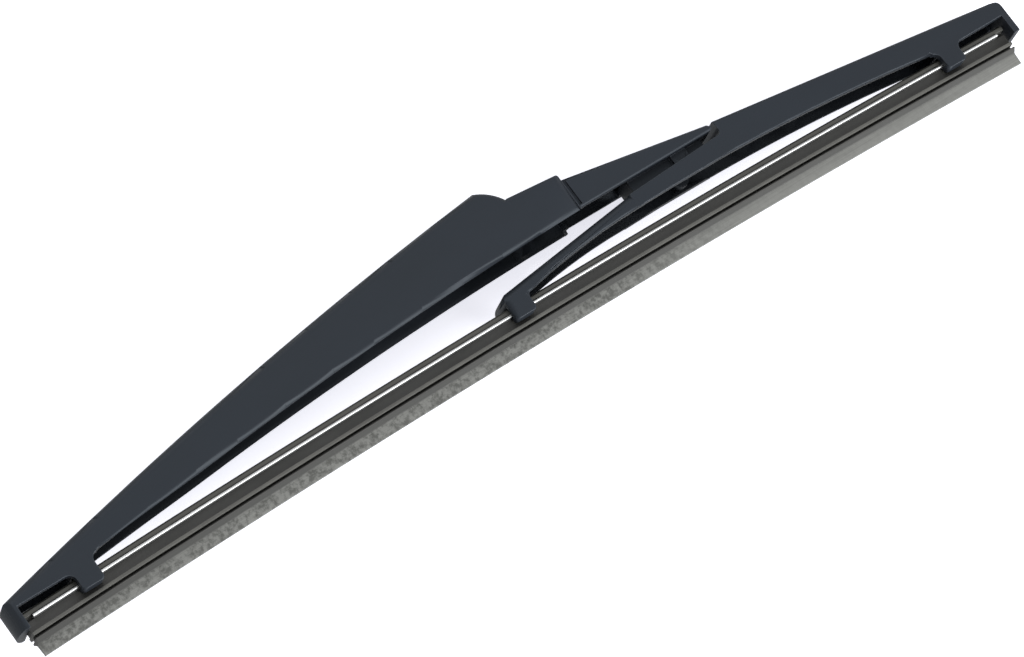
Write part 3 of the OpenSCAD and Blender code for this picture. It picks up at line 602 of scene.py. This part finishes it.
class SurfaceLooks(bpy.types.PropertyGroup):
    """Colours of the plastic, the rubber and the steel."""
    plastic_dark: bpy.props.FloatVectorProperty(
        name="Plastic, dark", description="Darkest tone of the moulded levers", subtype="COLOR",
        default=linear("#14171c"))
    plastic_light: bpy.props.FloatVectorProperty(
        name="Plastic, light", description="Lightest tone of the moulded levers", subtype="COLOR",
        default=linear("#1b1f26"))
    # Tone of the painted highlight on the levers' edges
    plastic_edge_highlight: bpy.props.FloatVectorProperty(
        name="Plastic, rubbed", description="Tone of the levers' rubbed edges", subtype="COLOR",
        default=linear("#5c6069"))
    # Tones of the section: painted shade on the wedge, in the grooves and on the web, and a painted
    # highlight on the rib; the head's tone is the rubber's own. The groove tone is also the tone of
    # the streaks and darker clouds
    rubber_wedge_shade: bpy.props.FloatVectorProperty(
        name="Rubber, wedge", description="Tone of the wedge over the lip", subtype="COLOR",
        default=linear("#2a2b29"))
    rubber_shade_and_streaks: bpy.props.FloatVectorProperty(
        name="Rubber, groove", description="Tone of the darkened rubber in the grooves",
        subtype="COLOR", default=linear("#20201e"))
    rubber_rib_highlight: bpy.props.FloatVectorProperty(
        name="Rubber, rib", description="Tone of the brightened rib that stands proud",
        subtype="COLOR", default=linear("#545450"))
    rubber_web_shade: bpy.props.FloatVectorProperty(
        name="Rubber, web", description="Tone of the web under the splines", subtype="COLOR",
        default=linear("#1c1c1a"))
    rubber_head: bpy.props.FloatVectorProperty(
        name="Rubber, head", description="Tone of the head over the splines", subtype="COLOR",
        default=linear("#3d3d39"))
    graphite: bpy.props.FloatVectorProperty(
        name="Graphite", description="Tone of the dusted lip", subtype="COLOR",
        default=linear("#6c6d6a"))
    graphite_worn: bpy.props.FloatVectorProperty(
        name="Graphite, worn", description="Tone of the lip where the dust has worn off",
        subtype="COLOR", default=linear("#444542"))
    steel_light: bpy.props.FloatVectorProperty(
        name="Steel, bright", description="Brightest tone of the splines", subtype="COLOR",
        default=linear("#b4b5b6"))
    steel_dull: bpy.props.FloatVectorProperty(
        name="Steel, dull", description="Dullest tone of the splines", subtype="COLOR",
        default=linear("#989998"))


class StudioSettings(bpy.types.PropertyGroup):
    """Light, table and camera."""
    lens: bpy.props.FloatProperty(
        name="Lens", description="Focal length in mm on a 36 mm sensor", default=155.66)
    ambient: bpy.props.FloatProperty(
        name="Ambient", description="Strength of the room's even light", default=0.42)
    key_power: bpy.props.FloatProperty(
        name="Key", description="Power of the large lamp over the table, in watts", default=10.0)
    low_power: bpy.props.FloatProperty(
        name="Low lamp", description="Power of the lamp at the blade's lower side, in watts",
        default=20.0)
    table_tone: bpy.props.FloatVectorProperty(
        name="Table", description="Colour of the pale table", subtype="COLOR",
        default=linear("#d8dade"))
    table_lift: bpy.props.FloatVectorProperty(
        name="Table lift", description="Glow that keeps the table pale for the camera",
        subtype="COLOR", default=linear("#d8d8e0"))


class WIPER_OT_squeegee(bpy.types.Operator):
    """Sweep the rubber's section along the bow and put it in the CAD squeegee's place"""
    bl_idname = "wiper.squeegee"
    bl_label = "Make the Squeegee"

    def execute(self, context):
        sizes = context.scene.wiper_strip
        outline = list(RUBBER_SECTION) + [(h, -w) for h, w in reversed(RUBBER_SECTION)]
        piece = bowed_strip("rubber_squeegee", outline, sizes, RUBBER_LEFT, RUBBER_RIGHT,
                            sizes.rubber_corner, moulded_rubber(context.scene.wiper_looks))
        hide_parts("squeegee")
        bend_with_yoke(piece)
        return {"FINISHED"}


class WIPER_OT_splines(bpy.types.Operator):
    """Make both steel splines in the squeegee's slots"""
    bl_idname = "wiper.splines"
    bl_label = "Make the Splines"

    def execute(self, context):
        sizes = context.scene.wiper_strip
        steel = rolled_steel(context.scene.wiper_looks)
        middle = (RUBBER_LEFT + RUBBER_RIGHT) / 2
        low, high = SPLINE_HEIGHTS
        for name, side in (("front_spline", -1), ("rear_spline", 1)):
            near, far = (side * reach for reach in SPLINE_REACH)
            outline = [(low, near), (low, far), (high, far), (high, near)]
            piece = bowed_strip("steel_" + name, outline, sizes, middle - SPLINE_LENGTH / 2,
                                middle + SPLINE_LENGTH / 2, sizes.spline_corner, steel)
            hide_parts(name)
            bend_with_yoke(piece)
        return {"FINISHED"}


class WIPER_OT_levers(bpy.types.Operator):
    """Shape the main lever and the yoke finely and give them the moulded plastic's finish"""
    bl_idname = "wiper.levers"
    bl_label = "Finish the Levers"

    def execute(self, context):
        plastic = moulded_plastic(context.scene.wiper_looks)
        for name, body, reshape in (("main_lever", "bridge_body", reshape_bridge),
                                    ("yoke", "yoke_body", reshape_yoke)):
            piece = moulded_lever(name, reshape, plastic)
            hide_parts(name)
            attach(piece, body)
        return {"FINISHED"}


class WIPER_OT_studio(bpy.types.Operator):
    """Set up the table, the light and the camera"""
    bl_idname = "wiper.studio"
    bl_label = "Set Up the Studio"

    def execute(self, context):
        studio = context.scene.wiper_studio
        make_table(studio)
        light_room(studio)
        middle = (Vector(CAD_BOX[0]) + Vector(CAD_BOX[1])) / 2
        add_lamp("key", KEY_LAMP, middle, studio.key_power)
        add_lamp("low", LOW_LAMP, middle, studio.low_power)
        place_camera(studio)
        context.scene.view_settings.view_transform = "Standard"
        return {"FINISHED"}


def make_table(studio):
    """The pale table that the blade lies on with its far side; from behind it isn't seen."""
    material, tree = new_material("table_painted_white")
    shader = add(tree, "ShaderNodeBsdfDiffuse", {"Color": studio.table_tone[:]})
    light_path = add(tree, "ShaderNodeLightPath").outputs
    glow = add(tree, "ShaderNodeEmission", {
        "Color": studio.table_lift[:], "Strength": light_path["Is Camera Ray"]})
    lit = add(tree, "ShaderNodeAddShader", {0: shader, 1: glow})
    clear = add(tree, "ShaderNodeBsdfTransparent")
    behind = add(tree, "ShaderNodeNewGeometry").outputs["Backfacing"]
    add(tree, "ShaderNodeOutputMaterial", {
        "Surface": add(tree, "ShaderNodeMixShader", {0: behind, 1: lit, 2: clear})})
    reach, y = TABLE_REACH, CAD_BOX[1][1] + TABLE_GAP
    mesh = bpy.data.meshes.new("table")
    mesh.from_pydata([(-reach, y, -reach), (reach, y, -reach), (reach, y, reach),
                      (-reach, y, reach)], [], [(0, 1, 2, 3)])
    mesh.materials.append(material)
    table = bpy.data.objects.new("table", mesh)
    bpy.context.scene.collection.objects.link(table)
    table.visible_shadow = table.visible_diffuse = table.visible_glossy = False


def light_room(studio):
    """Even light all round, and white wherever the camera or a mirror looks past the blade."""
    world = bpy.data.worlds.new("studio")
    world.use_nodes = True
    tree = world.node_tree
    tree.nodes.clear()
    light_path = add(tree, "ShaderNodeLightPath").outputs
    seen = add(tree, "ShaderNodeMath", {
        0: light_path["Is Camera Ray"], 1: light_path["Is Glossy Ray"]}, operation="MAXIMUM")
    seen = add(tree, "ShaderNodeMath", {
        0: seen, 1: light_path["Is Transmission Ray"]}, operation="MAXIMUM")
    strength = add(tree, "ShaderNodeMapRange", {
        "Value": seen, "To Min": studio.ambient, "To Max": 1.0})
    room = add(tree, "ShaderNodeBackground", {"Color": (1.0, 1.0, 1.0), "Strength": strength})
    add(tree, "ShaderNodeOutputWorld", {"Surface": room})
    bpy.context.scene.world = world


def add_lamp(name, place_and_size, target, power):
    """A rectangular soft lamp that faces target."""
    place, width, height = place_and_size
    lamp = bpy.data.lights.new(name, "AREA")
    lamp.shape, lamp.size, lamp.size_y, lamp.energy = "RECTANGLE", width, height, power
    holder = bpy.data.objects.new(name, lamp)
    holder.location = place
    holder.rotation_euler = (target - Vector(place)).to_track_quat("-Z", "Y").to_euler()
    bpy.context.scene.collection.objects.link(holder)


def place_camera(studio):
    """Puts the camera where the photograph was taken from."""
    turn, rise, roll = (math.radians(a) for a in (CAMERA_TURN, CAMERA_RISE, CAMERA_ROLL))
    ahead = Vector((math.sin(turn) * math.cos(rise), math.cos(turn) * math.cos(rise),
                    math.sin(rise)))
    right = Vector((math.cos(turn), -math.sin(turn), 0))
    up = right.cross(ahead)
    across = math.cos(roll) * right - math.sin(roll) * up
    upward = math.sin(roll) * right + math.cos(roll) * up
    data = bpy.data.cameras.new("photo_camera")
    data.lens, data.sensor_width, data.clip_end = studio.lens, SENSOR_WIDTH, CAMERA_REACH
    camera = bpy.data.objects.new("photo_camera", data)
    turned = Matrix((across, upward, -ahead)).transposed().to_4x4()
    camera.matrix_world = Matrix.Translation(CAMERA_PLACE) @ turned
    bpy.context.scene.collection.objects.link(camera)
    bpy.context.scene.camera = camera


class WIPER_PT_panel(bpy.types.Panel):
    """Lists the wiper blade's makers"""
    bl_idname = "WIPER_PT_panel"
    bl_label = "Wiper Blade"
    bl_space_type = "VIEW_3D"
    bl_region_type = "UI"
    bl_category = "Wiper Blade"

    def draw(self, context):
        for settings, makers in PANEL_ROWS:
            box = self.layout.box()
            group = getattr(context.scene, settings)
            for name in group.__annotations__:
                box.prop(group, name)
            for maker in makers:
                box.operator(maker.bl_idname)


PANEL_ROWS = (
    ("wiper_strip", (WIPER_OT_squeegee, WIPER_OT_splines)),
    ("wiper_looks", (WIPER_OT_levers,)),
    ("wiper_studio", (WIPER_OT_studio,)),
)
GROUPS = {"wiper_strip": StripSizes, "wiper_looks": SurfaceLooks, "wiper_studio": StudioSettings}
CLASSES = (*GROUPS.values(), WIPER_OT_squeegee, WIPER_OT_splines, WIPER_OT_levers,
           WIPER_OT_studio, WIPER_PT_panel)


def register():
    """Makes the settings, the makers and the panel known to Blender."""
    for kind in CLASSES:
        bpy.utils.register_class(kind)
    for name, group in GROUPS.items():
        setattr(bpy.types.Scene, name, bpy.props.PointerProperty(type=group))


def unregister():
    """Takes them out again."""
    for name in GROUPS:
        delattr(bpy.types.Scene, name)
    for kind in reversed(CLASSES):
        bpy.utils.unregister_class(kind)


def main():
    """Runs every maker in order."""
    register()
    bpy.ops.wiper.squeegee()
    bpy.ops.wiper.splines()
    bpy.ops.wiper.levers()
    bpy.ops.wiper.studio()


if __name__ == "__main__":
    main()
